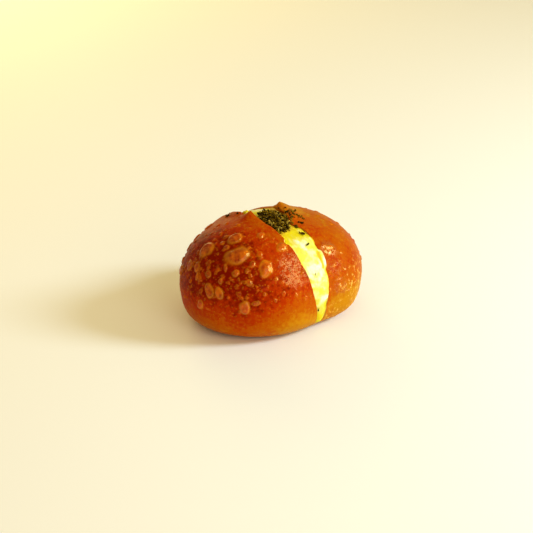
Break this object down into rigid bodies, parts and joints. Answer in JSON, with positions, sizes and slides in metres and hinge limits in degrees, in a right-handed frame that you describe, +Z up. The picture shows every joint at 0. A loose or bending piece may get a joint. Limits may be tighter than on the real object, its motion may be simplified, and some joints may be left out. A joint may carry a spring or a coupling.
{
  "type": "egg salad bun",
  "caption": "Round glossy bread bun cut open from the top, with an egg salad filling in the cut and dried parsley heaped on its crest.",
  "frame": {"origin": "on the surface the bun rests on, below the middle of its plan", "axes": "+Z up, +Y along the cut towards its far end in the picture, +X across the cut towards the half on the picture's right"},
  "size_m": [0.1052, 0.0828, 0.0578],
  "materials": {
    "bread_crust": null,
    "egg_salad": null,
    "dried_parsley": null
  },
  "bodies": {
    "root": {"bun": "bread_crust", "egg_filling": "egg_salad", "parsley": "dried_parsley"}
  },
  "joints": []
}
